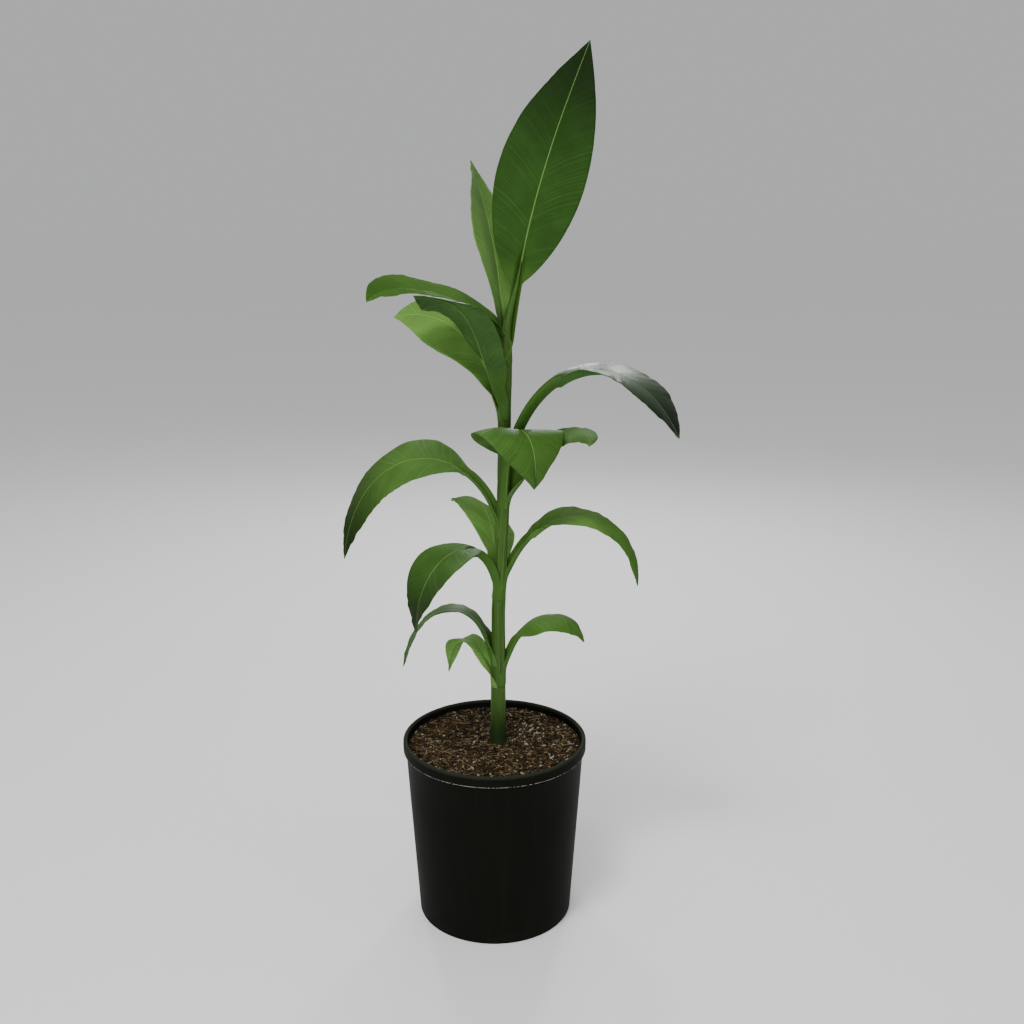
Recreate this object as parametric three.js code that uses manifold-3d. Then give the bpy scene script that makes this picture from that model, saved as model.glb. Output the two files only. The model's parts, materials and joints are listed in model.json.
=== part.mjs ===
// A young banana plant in a round nursery pot. Millimetres, Z up.
// The origin is the centre of the pot's flat underside, and -Y is the front.
import * as THREE from 'three';
import * as BufferGeometryUtils from 'three/addons/utils/BufferGeometryUtils.js';
import Module from 'manifold-3d';

const wasm = await Module();
wasm.setup();

const radians = THREE.MathUtils.degToRad;
const { clamp, lerp } = THREE.MathUtils;

// The smallest space left between two pieces that touch on the real plant.
const CLEARANCE = 0.3;

// The pot: a tapered wall, a flat band round the mouth and a rounded lip.
const POT = {
  height: 286,
  rimRadius: 140,
  lipWidth: 7,
  bandHeight: 16.5,
  bandStep: 4,
  baseRadius: 118.5,
  footRadius: 2,
  floor: 3,
  mouthRadius: 133,
  floorRadius: 115,
  segments: 64,
  drains: { count: 8, radius: 7, circle: 92, sides: 16 },
};

// The potting mix fills the pot to a little under its lip.
const SOIL = { level: 277, dip: 1.5, flatRadius: 60 };

// The stem's middle line and radius at a few heights, from the soil to its top.
const STEM = {
  top: 897,
  sides: 18,
  offset: [[277, 6], [490, 6], [660, 14.5], [897, 17.5]],
  radius: [[277, 12.3], [300, 12], [500, 10.5], [700, 9.5], [897, 8]],
  stations: [300, 350, 420, 490, 550, 605, 660, 740, 820, 870],
};

// A leaf's own sizes. All angles are in degrees.
// height: where its midrib leaves the stem. heading: seen from above, 0 to the right, 90 to the back.
// length: along the midrib with the stalk. stalk: length of the stalk. stalkWidth, width: across.
// rise: the midrib's slope at the stem and at the tip. bend: where it bends, and how gradually.
// sweep: how far the heading turns by the tip. roll: the blade's turn about its midrib, start and end.
// fold: how far the two halves lift from flat, start and end. widest: where along the blade.
// fullness: how soon the blade widens, less is sooner. sheath: how far the stalk's foot hugs the stem.
const LEAVES = {
  leaf_01: {
    height: 898, heading: 25, length: 424, stalk: 80, stalkWidth: 13, width: 127, rise: [82, 61],
    bend: [0.5, 0.36], sweep: 18, roll: [62, 30], fold: [12, 1], widest: 0.42, fullness: 0.68, sheath: 0,
  },
  leaf_02: {
    height: 875, heading: 114, length: 277, stalk: 45, stalkWidth: 7, width: 88, rise: [83, 65],
    bend: [0.36, 0.14], sweep: 22, roll: [27, 16], fold: [12, 0], widest: 0.48, fullness: 0.82, sheath: 0,
  },
  leaf_03: {
    height: 900, heading: 194, length: 249, stalk: 4, stalkWidth: 8, width: 108, rise: [52, -23],
    bend: [0.49, 0.5], sweep: 68, roll: [-13, -5], fold: [2, 3], widest: 0.51, fullness: 0.5, sheath: 0,
  },
  leaf_04: {
    height: 809, heading: 224, length: 258, stalk: 38, stalkWidth: 10, width: 93, rise: [64, -1],
    bend: [0.63, 0.1], sweep: 16, roll: [-5, 12], fold: [17, -25], widest: 0.54, fullness: 0.68, sheath: 35,
  },
  leaf_05: {
    height: 777, heading: 150, length: 260, stalk: 47, stalkWidth: 11, width: 100, rise: [78, -21],
    bend: [0.73, 0.27], sweep: 7, roll: [-16, -54], fold: [0, -4], widest: 0.47, fullness: 0.9, sheath: 30,
  },
  leaf_06: {
    height: 723, heading: -10, length: 362, stalk: 128, stalkWidth: 12, width: 106, rise: [80, -52],
    bend: [0.47, 0.24], sweep: -45, roll: [8, -12], fold: [5, 4], widest: 0.47, fullness: 0.72, sheath: 35,
  },
  leaf_07: {
    height: 669, heading: -68, length: 226, stalk: 58, stalkWidth: 11, width: 138, rise: [85, -99],
    bend: [0.59, 0.12], sweep: 18, roll: [-4, 1], fold: [-1, -11], widest: 0.35, fullness: 0.73, sheath: 50,
  },
  leaf_08: {
    height: 625, heading: 13, length: 256, stalk: 6, stalkWidth: 10, width: 59, rise: [77, -15],
    bend: [0.75, 0.37], sweep: -117, roll: [41, 13], fold: [40, -29], widest: 0.51, fullness: 0.68,
    sheath: 40,
  },
  leaf_09: {
    height: 626, heading: 158, length: 396, stalk: 72, stalkWidth: 13, width: 108, rise: [75, -87],
    bend: [0.28, 0.34], sweep: 16, roll: [-24, -41], fold: [-5, -17], widest: 0.4, fullness: 1, sheath: 35,
  },
  leaf_10: {
    height: 538, heading: 10, length: 315, stalk: 64, stalkWidth: 13, width: 103, rise: [78, -91],
    bend: [0.53, 0.38], sweep: -13, roll: [-6, 12], fold: [5, -8], widest: 0.4, fullness: 0.8, sheath: 30,
  },
  leaf_11: {
    height: 517, heading: 101, length: 256, stalk: 32, stalkWidth: 9, width: 106, rise: [75, -28],
    bend: [0.55, 0.25], sweep: 32, roll: [49, 6], fold: [15, -32], widest: 0.38, fullness: 0.72, sheath: 30,
  },
  leaf_12: {
    height: 530, heading: 229, length: 263, stalk: 78, stalkWidth: 13, width: 92, rise: [77, -89],
    bend: [0.44, 0.26], sweep: -12, roll: [-7, 16], fold: [-3, 7], widest: 0.45, fullness: 0.79, sheath: 30,
  },
  leaf_13: {
    height: 398, heading: 169, length: 248, stalk: 30, stalkWidth: 9, width: 63, rise: [86, -75],
    bend: [0.47, 0.15], sweep: 38, roll: [11, 7], fold: [6, -3], widest: 0.4, fullness: 0.79, sheath: 0,
  },
  leaf_14: {
    height: 383, heading: 167, length: 152, stalk: 19, stalkWidth: 8, width: 35, rise: [69, -76],
    bend: [0.49, 0.09], sweep: -55, roll: [-42, 74], fold: [-3, 27], widest: 0.34, fullness: 0.83, sheath: 20,
  },
  leaf_15: {
    height: 400, heading: 7, length: 180, stalk: 45, stalkWidth: 10, width: 74, rise: [75, -76],
    bend: [0.81, 0.3], sweep: -27, roll: [5, 0], fold: [-11, -16], widest: 0.42, fullness: 0.79, sheath: 38,
  },
};

// A leaf's midrib starts this far out from the stem's middle, as a share of the stem's radius.
const ROOT_SHARE = 0.7;
// The first place clear of the stem is looked for in this share of the leaf, in steps of the path,
// with each side of its cross-section tried at these places.
const ROOT_SEARCH = 0.35;
const SEARCH_STEP = 0.25;
const SIDE_PLACES = [0, 0.2, 0.4, 0.6, 0.8];
// The foot of a stalk lies this far off the stem, for each corner of its lower end.
const FOOT_LAYERS = [1.3, 1.6, 2.2, 2.2, 1.6, 1.3, 1.3];
// Thickness of a leaf at its edge, as a share of its length.
const EDGE_SHARE = 0.0102;
// The keel under a stalk: its depth, and half the width of its underside, as shares of the
// stalk's width. Along the first part of the blade it shrinks to the midrib's share of that.
const KEEL = { depth: 0.75, half: 0.3, midribShare: 0.35, shrinkOver: 0.6 };
// The keel is at least this much deeper than the edge, and at most this share of the leaf's width.
const KEEL_LIMITS = { depth: 1.2, width: 0.6 };
// The stalk's own width dies out over this last share of the blade.
const STALK_FADE = 0.3;
const TIP_TAPER = 1.05;
// A leaf that bends further than this is made in two pieces that meet at the bend.
const SPLIT_BEND = 60;
const PATH_STEPS = 240;
const STATION_LENGTH = 12;
const TIP_HALF_WIDTH = 1.2;

const finish = (color, roughness) => new THREE.MeshStandardMaterial({ color, roughness, metalness: 0 });
const MATERIALS = {
  pot: finish(0x14181a, 0.4),
  soil: finish(0x4a3428, 0.95),
  stem: finish(0x6f9a45, 0.5),
  leaf: finish(0x6b9a3f, 0.45),
};

// Reads a value between the given pairs of height and value.
function between(height, pairs) {
  for (let i = 1; i < pairs.length; i += 1) {
    const [lowHeight, lowValue] = pairs[i - 1];
    const [highHeight, highValue] = pairs[i];
    if (height <= highHeight) {
      const share = clamp((height - lowHeight) / (highHeight - lowHeight), 0, 1);
      return lerp(lowValue, highValue, share);
    }
  }
  return pairs[pairs.length - 1][1];
}

const stemMiddle = (height) => new THREE.Vector3(between(height, STEM.offset), 0, height);
const stemRadius = (height) => between(height, STEM.radius);

// How far a point lies outside the stem.
function clearOfStem(point) {
  if (point.z > STEM.top + CLEARANCE) {
    return point.z - STEM.top;
  }
  const middle = stemMiddle(point.z);
  return Math.hypot(point.x - middle.x, point.y - middle.y) - stemRadius(point.z);
}

// Closed solid through a row of rings with equal point counts.
// capTriangles lists a ring's triangles, seen from the ring's far side.
function ringSolid(rings, capTriangles) {
  const count = rings[0].length;
  const positions = rings.flat().flatMap((point) => [point.x, point.y, point.z]);
  const indices = [];
  for (let ring = 0; ring < rings.length - 1; ring += 1) {
    for (let i = 0; i < count; i += 1) {
      const next = (i + 1) % count;
      const a = ring * count + i;
      const b = ring * count + next;
      indices.push(a, b, b + count, a, b + count, a + count);
    }
  }
  const last = (rings.length - 1) * count;
  for (const [a, b, c] of capTriangles) {
    indices.push(a, c, b);
    indices.push(last + a, last + b, last + c);
  }
  const geometry = new THREE.BufferGeometry();
  geometry.setAttribute('position', new THREE.Float32BufferAttribute(positions, 3));
  geometry.setIndex(indices);
  return geometry;
}

// Turns a lathe about Z from a profile of radius and height pairs, closed on the axis.
function turned(profile, segments) {
  const points = profile.map(([radius, height]) => new THREE.Vector2(radius, height));
  const geometry = new THREE.LatheGeometry(points, segments);
  geometry.rotateX(Math.PI / 2);
  return geometry;
}

function toManifold(geometry) {
  const plain = geometry.clone();
  plain.deleteAttribute('normal');
  plain.deleteAttribute('uv');
  const merged = BufferGeometryUtils.mergeVertices(plain, 1e-4);
  return new wasm.Manifold(new wasm.Mesh({
    numProp: 3,
    vertProperties: new Float32Array(merged.attributes.position.array),
    triVerts: new Uint32Array(merged.index.array),
  }));
}

function fromManifold(solid) {
  const mesh = solid.getMesh();
  const geometry = new THREE.BufferGeometry();
  geometry.setAttribute('position', new THREE.BufferAttribute(new Float32Array(mesh.vertProperties), 3));
  geometry.setIndex(new THREE.BufferAttribute(new Uint32Array(mesh.triVerts), 1));
  return geometry;
}

// Points of a quarter or half round, from one angle to another.
function arc(centreRadius, centreHeight, radius, from, to, steps) {
  const points = [];
  for (let i = 0; i <= steps; i += 1) {
    const angle = radians(lerp(from, to, i / steps));
    points.push([centreRadius + radius * Math.cos(angle), centreHeight + radius * Math.sin(angle)]);
  }
  return points;
}

function potGeometry() {
  const bandBottom = POT.height - POT.bandHeight;
  const lipRadius = POT.lipWidth / 2;
  const foot = POT.footRadius;
  const profile = [
    [0, 0],
    ...arc(POT.baseRadius - foot, foot, foot, -90, 0, 3),
    [POT.rimRadius - POT.bandStep, bandBottom],
    [POT.rimRadius, bandBottom],
    ...arc(POT.rimRadius - lipRadius, POT.height - lipRadius, lipRadius, 0, 180, 6),
    [POT.floorRadius, POT.floor],
    [0, POT.floor],
  ];
  let pot = toManifold(turned(profile, POT.segments));
  const { count, radius, circle, sides } = POT.drains;
  for (let i = 0; i < count; i += 1) {
    const angle = (2 * Math.PI * i) / count;
    const drill = wasm.Manifold.cylinder(POT.floor * 3, radius, radius, sides, true)
      .translate([circle * Math.cos(angle), circle * Math.sin(angle), 0]);
    pot = pot.subtract(drill);
  }
  return fromManifold(pot);
}

// Radius of the pot's inside at a height.
function potInside(height) {
  const top = POT.height - POT.lipWidth / 2;
  return lerp(POT.floorRadius, POT.mouthRadius, (height - POT.floor) / (top - POT.floor));
}

function soilGeometry() {
  const bottom = POT.floor + CLEARANCE;
  const edge = SOIL.level - SOIL.dip;
  return turned([
    [0, bottom],
    [potInside(bottom) - CLEARANCE, bottom],
    [potInside(edge) - CLEARANCE, edge],
    [SOIL.flatRadius, SOIL.level],
    [0, SOIL.level],
  ], POT.segments);
}

function stemGeometry() {
  const heights = [SOIL.level + CLEARANCE, ...STEM.stations, STEM.top];
  const rings = heights.map((height) => {
    const middle = stemMiddle(height);
    const radius = stemRadius(height);
    return Array.from({ length: STEM.sides }, (_, i) => {
      const angle = (2 * Math.PI * i) / STEM.sides;
      const side = new THREE.Vector3(Math.cos(angle), Math.sin(angle), 0);
      return side.multiplyScalar(radius).add(middle);
    });
  });
  const cap = Array.from({ length: STEM.sides - 2 }, (_, i) => [0, i + 1, i + 2]);
  return ringSolid(rings, cap);
}

// An S-shaped step from 0 to 1 along the leaf, centred on the bend.
function bendShare(leaf, along) {
  const [middle, spread] = leaf.bend;
  const step = (x) => 1 / (1 + Math.exp((middle - x) / spread));
  return (step(along) - step(0)) / (step(1) - step(0));
}

const riseAt = (leaf, along) => lerp(leaf.rise[0], leaf.rise[1], bendShare(leaf, along));

// Unit vector along the midrib.
function directionAt(leaf, along) {
  const rise = radians(riseAt(leaf, along));
  const heading = radians(leaf.heading + leaf.sweep * along * along);
  return new THREE.Vector3(
    Math.cos(rise) * Math.cos(heading),
    Math.cos(rise) * Math.sin(heading),
    Math.sin(rise),
  );
}

// The midrib as a row of points, from inside the stem to the tip.
function midrib(leaf) {
  const heading = radians(leaf.heading);
  const out = stemRadius(leaf.height) * ROOT_SHARE;
  const start = stemMiddle(leaf.height);
  start.x += out * Math.cos(heading);
  start.y += out * Math.sin(heading);
  const points = [start];
  for (let i = 0; i < PATH_STEPS; i += 1) {
    const step = directionAt(leaf, (i + 0.5) / PATH_STEPS).multiplyScalar(leaf.length / PATH_STEPS);
    points.push(points[i].clone().add(step));
  }
  return points;
}

// Half of the blade's width, or of the stalk's where there is no blade.
function halfWidthAt(leaf, along) {
  const bladeStart = leaf.stalk / leaf.length;
  const share = clamp((along - bladeStart) / (1 - bladeStart), 0, 1);
  const blade = share < leaf.widest
    ? Math.sin((Math.PI / 2) * (share / leaf.widest)) ** leaf.fullness
    : Math.cos((Math.PI / 2) * ((share - leaf.widest) / (1 - leaf.widest)) ** TIP_TAPER);
  const stalkEnd = Math.sqrt(clamp((1 - share) / STALK_FADE, 0, 1));
  return Math.max((leaf.width / 2) * blade, (leaf.stalkWidth / 2) * stalkEnd, TIP_HALF_WIDTH);
}

// The seven corners of a leaf's cross-section, shifted along the midrib by nudge.
function leafSection(leaf, path, along, nudge = 0) {
  const place = along * PATH_STEPS;
  const index = Math.min(Math.floor(place), PATH_STEPS - 1);
  const middle = path[index].clone().lerp(path[index + 1], place - index);
  const forward = directionAt(leaf, along);
  middle.addScaledVector(forward, nudge);

  const heading = radians(leaf.heading + leaf.sweep * along * along);
  const level = new THREE.Vector3(-Math.sin(heading), Math.cos(heading), 0);
  const upright = forward.clone().cross(level);
  const bladeStart = leaf.stalk / leaf.length;
  const share = clamp((along - bladeStart) / (1 - bladeStart), 0, 1);
  const roll = radians(lerp(leaf.roll[0], leaf.roll[1], share));
  const fold = radians(lerp(leaf.fold[0], leaf.fold[1], share));
  const across = level.clone().multiplyScalar(Math.cos(roll)).addScaledVector(upright, Math.sin(roll));
  const up = upright.multiplyScalar(Math.cos(roll)).addScaledVector(level, -Math.sin(roll));

  const half = halfWidthAt(leaf, along);
  const edge = (leaf.length * EDGE_SHARE) / 2;
  const keelShare = lerp(1, KEEL.midribShare, clamp(share / KEEL.shrinkOver, 0, 1));
  const keelDepth = Math.max(leaf.stalkWidth * KEEL.depth * keelShare, edge * KEEL_LIMITS.depth);
  const keelHalf = Math.min(leaf.stalkWidth * KEEL.half * keelShare, half * KEEL_LIMITS.width);
  const corner = (side, depth) => middle.clone()
    .addScaledVector(across, side * Math.cos(fold))
    .addScaledVector(up, Math.abs(side) * Math.sin(fold) + depth);
  return [
    corner(-half, edge), corner(-half, -edge), corner(-keelHalf, -keelDepth),
    corner(keelHalf, -keelDepth), corner(half, -edge), corner(half, edge), corner(0, edge),
  ];
}
const SECTION_CAP = [[0, 1, 6], [6, 1, 2], [6, 2, 3], [6, 3, 4], [6, 4, 5]];

// The place along the leaf where all of it is clear of the stem, next to the stem.
function firstClear(leaf, path) {
  for (let i = Math.round(PATH_STEPS * ROOT_SEARCH); i >= 0; i -= SEARCH_STEP) {
    const corners = leafSection(leaf, path, i / PATH_STEPS);
    const outline = corners.flatMap((corner, k) => (
      SIDE_PLACES.map((share) => corner.clone().lerp(corners[(k + 1) % corners.length], share))
    ));
    if (Math.min(...outline.map(clearOfStem)) < CLEARANCE) {
      return (i + SEARCH_STEP) / PATH_STEPS;
    }
  }
  return 0;
}

// The place along the leaf where it has made half of its bend.
function halfwayBend(leaf) {
  let low = 0;
  let high = 1;
  for (let i = 0; i < 30; i += 1) {
    const middle = (low + high) / 2;
    if (bendShare(leaf, middle) < 0.5) {
      low = middle;
    } else {
      high = middle;
    }
  }
  return low;
}

// The lower end of a stalk's foot, a thin sliver against the stem below the leaf's first section.
function sheathSection(leaf, firstSection) {
  return firstSection.map((corner, i) => {
    const middle = stemMiddle(corner.z - leaf.sheath);
    const outward = new THREE.Vector3(corner.x - middle.x, corner.y - middle.y, 0).normalize();
    return middle.addScaledVector(outward, stemRadius(middle.z) + CLEARANCE + FOOT_LAYERS[i]);
  });
}

// One solid of a leaf, between two places along it. Its ends are shifted inwards by the nudges.
function leafPiece(leaf, path, from, to, nudgeStart, nudgeEnd) {
  const steps = Math.max(4, Math.round((leaf.length * (to - from)) / STATION_LENGTH));
  const rings = [];
  for (let i = 0; i <= steps; i += 1) {
    const nudge = (i === 0 ? nudgeStart : 0) - (i === steps ? nudgeEnd : 0);
    rings.push(leafSection(leaf, path, lerp(from, to, i / steps), nudge));
  }
  if (leaf.sheath > 0 && nudgeStart === 0) {
    rings.unshift(sheathSection(leaf, rings[0]));
  }
  return ringSolid(rings, SECTION_CAP);
}

function addMesh(group, name, geometry, material) {
  const mesh = new THREE.Mesh(geometry, material);
  mesh.name = name;
  group.add(mesh);
}

function addLeaf(group, name, leaf) {
  const path = midrib(leaf);
  const start = firstClear(leaf, path);
  if (leaf.rise[0] - leaf.rise[1] < SPLIT_BEND) {
    addMesh(group, name, leafPiece(leaf, path, start, 1, 0, 0), MATERIALS.leaf);
    return;
  }
  const bend = halfwayBend(leaf);
  const gap = CLEARANCE / 2;
  addMesh(group, `${name}_inner`, leafPiece(leaf, path, start, bend, 0, gap), MATERIALS.leaf);
  addMesh(group, `${name}_outer`, leafPiece(leaf, path, bend, 1, gap, 0), MATERIALS.leaf);
}

const plant = new THREE.Group();
addMesh(plant, 'pot', potGeometry(), MATERIALS.pot);
addMesh(plant, 'soil', soilGeometry(), MATERIALS.soil);
addMesh(plant, 'stem', stemGeometry(), MATERIALS.stem);

const foliage = new THREE.Group();
for (const [name, leaf] of Object.entries(LEAVES)) {
  addLeaf(foliage, name, leaf);
}
plant.add(foliage);

export default plant;
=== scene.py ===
"""A young banana plant in a round nursery pot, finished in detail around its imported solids."""

import json
import math

import bpy
import numpy as np
from bpy.props import (
    CollectionProperty,
    FloatProperty,
    FloatVectorProperty,
    IntProperty,
    PointerProperty,
    StringProperty,
)
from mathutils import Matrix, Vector

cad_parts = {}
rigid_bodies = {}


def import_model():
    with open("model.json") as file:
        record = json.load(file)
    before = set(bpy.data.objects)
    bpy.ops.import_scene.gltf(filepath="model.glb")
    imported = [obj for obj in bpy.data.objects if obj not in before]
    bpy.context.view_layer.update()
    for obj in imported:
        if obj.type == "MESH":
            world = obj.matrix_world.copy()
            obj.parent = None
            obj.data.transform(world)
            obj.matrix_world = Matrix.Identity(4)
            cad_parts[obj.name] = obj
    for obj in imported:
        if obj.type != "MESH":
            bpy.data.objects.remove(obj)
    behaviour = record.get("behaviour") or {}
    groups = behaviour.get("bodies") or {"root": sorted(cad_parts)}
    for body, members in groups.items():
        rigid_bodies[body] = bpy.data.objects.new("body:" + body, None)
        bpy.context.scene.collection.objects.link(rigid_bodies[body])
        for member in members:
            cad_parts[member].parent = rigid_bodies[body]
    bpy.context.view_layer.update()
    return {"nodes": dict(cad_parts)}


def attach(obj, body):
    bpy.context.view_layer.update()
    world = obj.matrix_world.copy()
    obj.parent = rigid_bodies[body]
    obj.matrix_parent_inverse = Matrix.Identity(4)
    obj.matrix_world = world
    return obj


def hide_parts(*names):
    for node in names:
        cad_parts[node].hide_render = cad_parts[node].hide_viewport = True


bl_info = {
    "name": "Potted Banana Plant",
    "version": (1, 0, 0),
    "blender": (4, 5, 0),
    "location": "3D View > Sidebar > Banana Plant",
    "description": "Builds a young banana plant in a nursery pot around its packed solids",
    "category": "Add Mesh",
}

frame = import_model()
BODY = "root"
MM = 0.001
DEGREE = math.radians(1)

# Each leaf, by the rule that the solids follow. Lengths are in millimetres, angles in degrees.
# height: where the midrib leaves the stem. heading: from above, 0 to the right, 90 to the back.
# rise, roll, fold: at the start and the end. bend: its middle and how gradual it is.
# base, cup, camber: of the left and the right half. sheath: how far the foot hugs the stem.
# tone: -1 for the deepest green, 1 for a fresh one. shade: how much painted shade deepens it to
# the tip.
# Some tones also carry painted light and shade: fresher where light shines through a leaf or a
# sheen lies on it, deeper where a leaf lies in shade.
LEAVES = {
    "leaf_01": dict(
        height=898, heading=25, length=424, stalk=80, stalk_width=13, width=127,
        rise=(82, 61), bend=(0.5, 0.36), sweep=18, roll=(62, 30), fold=(12, 1),
        widest=0.42, fullness=0.68, sheath=0, base=(14, 8), turn=0, cup=(-8, -8),
        tone=-0.7, gloss=0.12, shade=0.88,
    ),
    # Its fresher tone is partly a painted sheen.
    "leaf_02": dict(
        height=876.4, heading=112.5, length=277, stalk=45, stalk_width=6.7, width=94,
        rise=(82.7, 65.5), bend=(0.37, 0.09), sweep=26.4, roll=(24.1, 17.2), fold=(12.2, 2.2),
        widest=0.48, fullness=0.82, sheath=0, base=(23, 32), turn=-5, cup=(14, -6),
        tone=0.5, gloss=0.6, shade=0.1,
    ),
    "leaf_03": dict(
        height=901, heading=194.8, length=244, stalk=4, stalk_width=12, width=84,
        rise=(46.9, -19.3), bend=(0.54, 0.54), sweep=57.9, roll=(-7, -21.6), fold=(-8.2, 16.4),
        widest=0.51, fullness=0.5, sheath=0, base=(0, 6), turn=0, cup=(21, 34),
        tone=0, gloss=0, shade=0.2,
    ),
    # Its deepest tone is partly painted shade: the leaf lies in shade.
    "leaf_04": dict(
        height=806.3, heading=225.6, length=260, stalk=38, stalk_width=10.8, width=83,
        rise=(66.2, 5.1), bend=(0.61, 0.1), sweep=11.6, roll=(-17.5, 23.1), fold=(32.6, -36.7),
        widest=0.54, fullness=0.68, sheath=35, base=(28, 12), turn=0, cup=(0, -24),
        tone=-1, gloss=0.5, shade=0.2,
    ),
    # Its fresh tone is painted light: light shining through the blade where it lies in shade.
    "leaf_05": dict(
        height=776.7, heading=150.9, length=258, stalk=47, stalk_width=10.7, width=101,
        rise=(79.3, -17.2), bend=(0.7, 0.3), sweep=4.1, roll=(-15.6, -56.6), fold=(2.6, 2.8),
        widest=0.47, fullness=0.9, sheath=30, base=(19, 0), turn=-9, cup=(11, 0),
        tone=0.92, gloss=0, shade=0,
    ),
    "leaf_06": dict(
        height=722.7, heading=-12.3, length=361, stalk=128, stalk_width=15, width=104,
        rise=(74.4, -55.8), bend=(0.52, 0.2), sweep=-37.2, roll=(2.4, -6.7), fold=(-0.5, 3.9),
        widest=0.47, fullness=0.72, sheath=35, base=(0, -48), turn=10, cup=(10, 11),
        tone=-0.85, gloss=0.8, shade=1,
    ),
    "leaf_07": dict(
        height=669, heading=-68, length=226, stalk=58, stalk_width=12, width=138,
        rise=(85, -99), bend=(0.59, 0.12), sweep=18, roll=(-4, 1), fold=(-1, -11),
        widest=0.35, fullness=0.73, sheath=50, base=(18, 0), turn=0, cup=(0, 0),
        camber=(2, 8), tone=-0.05, gloss=0.35, shade=0.1,
    ),
    "leaf_08": dict(
        height=625.4, heading=13.4, length=252, stalk=6, stalk_width=14, width=67,
        rise=(81.7, -18.1), bend=(0.72, 0.38), sweep=-119.1, roll=(34.4, 11.9), fold=(48.3, -30.7),
        widest=0.51, fullness=0.68, sheath=40, base=(-1, 0), turn=2, cup=(28, 7),
        tone=0.05, gloss=0.08, shade=0.1,
    ),
    "leaf_09": dict(
        height=626.1, heading=157.9, length=391, stalk=72, stalk_width=12.5, width=108,
        rise=(74.5, -83.8), bend=(0.28, 0.31), sweep=15.6, roll=(-19.2, -45.2), fold=(-3.2, -9.5),
        widest=0.4, fullness=1, sheath=35, base=(-6, -9), turn=2, cup=(2, 5),
        tone=0.2, gloss=0.18, shade=1,
    ),
    "leaf_10": dict(
        height=537.6, heading=10.9, length=318, stalk=64, stalk_width=11.2, width=104,
        rise=(71.6, -91.5), bend=(0.56, 0.27), sweep=-18.8, roll=(-9.8, 14.4), fold=(-2.3, -11.3),
        widest=0.4, fullness=0.8, sheath=30, base=(-10, -27), turn=17, cup=(16, 3),
        tone=0.35, gloss=0, shade=0.2,
    ),
    "leaf_11": dict(
        height=517, heading=101, length=256, stalk=32, stalk_width=9, width=106,
        rise=(75, -28), bend=(0.55, 0.25), sweep=32, roll=(49, 6), fold=(15, -32),
        widest=0.38, fullness=0.72, sheath=30, base=(0, 0), turn=0, cup=(0, 0),
        tone=0.9, gloss=0, shade=0.2,
    ),
    "leaf_12": dict(
        height=530, heading=229, length=263, stalk=78, stalk_width=13, width=92,
        rise=(77, -89), bend=(0.44, 0.26), sweep=-12, roll=(-7, 16), fold=(-3, 7),
        widest=0.45, fullness=0.79, sheath=30, base=(10, 6), turn=0, cup=(0, 0),
        tone=-0.3, gloss=0.35, shade=0.9,
    ),
    "leaf_13": dict(
        height=398, heading=169, length=248, stalk=30, stalk_width=9, width=63,
        rise=(86, -75), bend=(0.47, 0.15), sweep=38, roll=(11, 7), fold=(6, -3),
        widest=0.4, fullness=0.79, sheath=0, base=(0, 0), turn=-35, cup=(0, 0),
        tone=-0.2, gloss=0.35, shade=0.3,
    ),
    # Its fresh tone is painted light shining through the blade.
    "leaf_14": dict(
        height=383, heading=167, length=152, stalk=19, stalk_width=8, width=35,
        rise=(69, -76), bend=(0.49, 0.09), sweep=-55, roll=(-42, 74), fold=(-3, 27),
        widest=0.34, fullness=0.83, sheath=20, base=(19, 0), turn=0, cup=(0, 0),
        tone=1.4, gloss=0.25, shade=1,
    ),
    "leaf_15": dict(
        height=396.9, heading=6.6, length=184, stalk=45, stalk_width=11, width=78,
        rise=(74.7, -70.1), bend=(0.7, 0.22), sweep=-27.6, roll=(-5.3, 7.9), fold=(-20.8, -11.5),
        widest=0.42, fullness=0.79, sheath=38, base=(-11, -9), turn=15, cup=(19, -1),
        tone=0.15, gloss=0.15, shade=0.2,
    ),
}

# The stem's middle line and radius by height, in millimetres.
STEM_OFFSET = ((277, 490, 660, 897), (6, 6, 14.5, 17.5))
STEM_RADIUS = ((277, 300, 500, 700, 800, 865, 897), (12.3, 12, 10.5, 9.6, 9.8, 9.9, 8.8))


def converted(value, factor):
    """A number, or each number of a pair, times a factor."""
    return value * factor if isinstance(value, (int, float)) else tuple(v * factor for v in value)


def number_setting(name, value, description, unit="NONE", **limits):
    """A number or a pair of numbers."""
    texts = {"name": name, "description": description, "unit": unit, "precision": 4}
    if isinstance(value, tuple):
        return FloatVectorProperty(default=value, size=2, **texts, **limits)
    return FloatProperty(default=value, **texts, **limits)


def length_setting(name, millimetres, description, **limits):
    """A size in metres, or a pair of sizes."""
    return number_setting(name, converted(millimetres, MM), description, "LENGTH", **limits)


def angle_setting(name, degrees, description, **limits):
    """An angle in radians, or a pair of angles."""
    return number_setting(name, converted(degrees, DEGREE), description, "ROTATION", **limits)


def colour_setting(name, colour, description):
    return FloatVectorProperty(
        name=name, description=description, default=colour, subtype="COLOR", size=3, min=0, max=1
    )


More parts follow.
